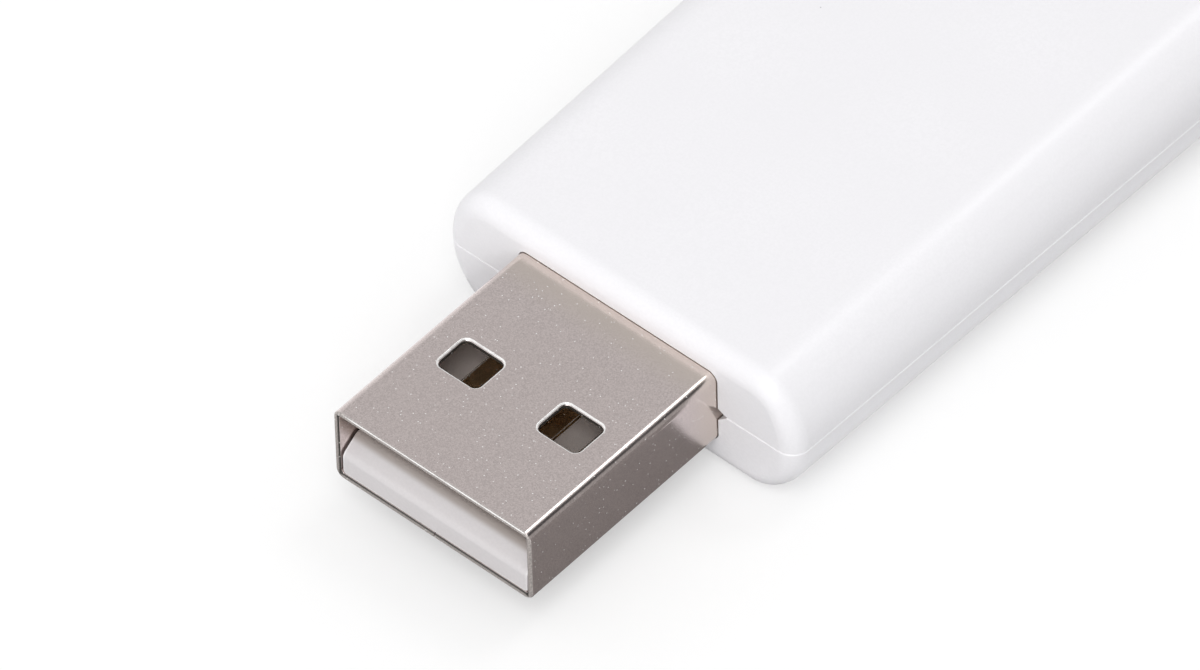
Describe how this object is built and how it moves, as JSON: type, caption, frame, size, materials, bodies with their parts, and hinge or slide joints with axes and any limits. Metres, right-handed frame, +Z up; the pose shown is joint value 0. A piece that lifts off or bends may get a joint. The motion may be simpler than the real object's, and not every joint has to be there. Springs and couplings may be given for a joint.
{
  "type": "usb signal repeater",
  "caption": "Small white moulded stick that repeats a home network's radio signal, with a folded steel USB-A plug at one end for its power.",
  "frame": {"origin": "middle of the whole length and width, on the flat face that the stick rests on", "axes": "+X across the stick, +Y from the plug's mouth towards the casing's back end, +Z up from the rest face; the plug leaves along -Y"},
  "size_m": [0.0228, 0.0588, 0.0082],
  "materials": {
    "white_casing": "satin white moulded plastic",
    "plug_steel": "satin nickel-plated sheet steel",
    "white_insulator": "matt white moulded plastic",
    "gilded_contact": "gilded strip",
    "circuit_board": "green lacquered glass-fibre board",
    "shield_metal": "tinned sheet steel",
    "black_resin": "black moulded resin",
    "trace_copper": "etched copper",
    "chip_ceramic": "fired ceramic with tinned ends",
    "clear_resin": "clear cast resin"
  },
  "bodies": {
    "root": {"top_cover": "white_casing", "bottom_cover": "white_casing", "plug_shell": "plug_steel", "plug_insulator": "white_insulator", "contact_power": "gilded_contact", "contact_data_minus": "gilded_contact", "contact_data_plus": "gilded_contact", "contact_ground": "gilded_contact", "main_board": "circuit_board", "radio_module_board": "circuit_board", "module_shield": "shield_metal", "radio_chip": "black_resin", "crystal": "shield_metal", "antenna_trace": "trace_copper", "input_fuse": "chip_ceramic", "surge_diode": "black_resin", "input_capacitor": "chip_ceramic", "voltage_regulator": "black_resin", "output_capacitor": "chip_ceramic", "led_resistor": "black_resin", "indicator_led": "clear_resin"}
  },
  "joints": []
}
